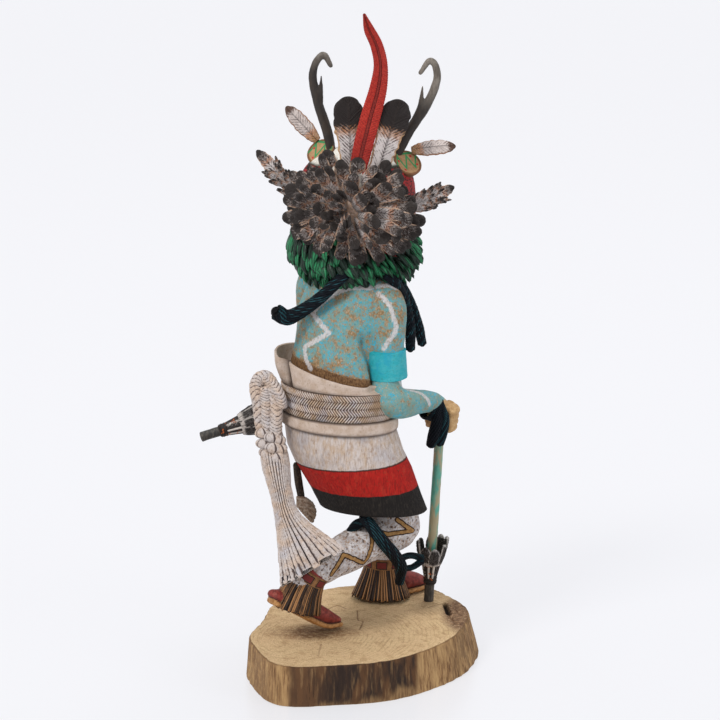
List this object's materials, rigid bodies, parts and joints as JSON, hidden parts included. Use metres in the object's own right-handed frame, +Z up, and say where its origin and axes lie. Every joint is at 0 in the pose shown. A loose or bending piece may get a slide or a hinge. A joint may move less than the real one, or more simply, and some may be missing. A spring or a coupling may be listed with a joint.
{
  "type": "kachina doll",
  "caption": "Carved and painted kachina doll of a striding masked dancer with pronghorn horns, feathers, a kilt and canes, on a slab of cottonwood.",
  "frame": {"origin": "middle of the slab's flat underside", "axes": "+Z up through the dancer; +X and +Y level, the dancer's back turned to -Y and the stride running towards +X and +Y"},
  "size_m": [0.1632, 0.1455, 0.3762],
  "materials": {
    "slab_wood": "sawn and lightly sealed wood with bark",
    "body_paint": "painted wood, matte, worn",
    "mask_paint": "painted wood, matte, worn",
    "spruce_paint": "painted wood, matte, worn",
    "quill_paint": "painted wood, matte, worn",
    "red_paint": "painted wood, matte, worn",
    "eagle_paint": "painted wood, matte, worn",
    "horn_paint": "painted wood, matte, worn",
    "blossom_wood": "bare carved wood with painted lines",
    "yarn_paint": "painted wood, matte, worn",
    "cane_paint": "painted wood, matte, worn",
    "cane_feather_paint": "painted wood, matte, worn",
    "cotton_paint": "painted wood, matte, worn"
  },
  "bodies": {
    "root": {"base_slab": "slab_wood", "figure": "body_paint", "case_mask": "mask_paint", "spruce_collar": "spruce_paint", "feather_bunch": "quill_paint", "red_feather": "red_paint", "eagle_feather_left": "eagle_paint", "eagle_feather_right": "eagle_paint", "horn_left": "horn_paint", "horn_right": "horn_paint", "blossom_ear_left": "blossom_wood", "blossom_ear_right": "blossom_wood", "blossom_feather_left": "eagle_paint", "blossom_feather_right": "eagle_paint", "ear_feather_left": "quill_paint", "ear_feather_right": "quill_paint", "neck_yarn": "yarn_paint", "forearm_right": "body_paint", "forearm_left": "body_paint", "cane_right": "cane_paint", "cane_left": "cane_paint", "cane_feathers_right": "cane_feather_paint", "cane_feathers_left": "cane_feather_paint", "wrist_yarn": "yarn_paint", "knee_yarn": "yarn_paint", "rain_sash": "cotton_paint", "side_tassel": "cotton_paint"}
  },
  "joints": []
}
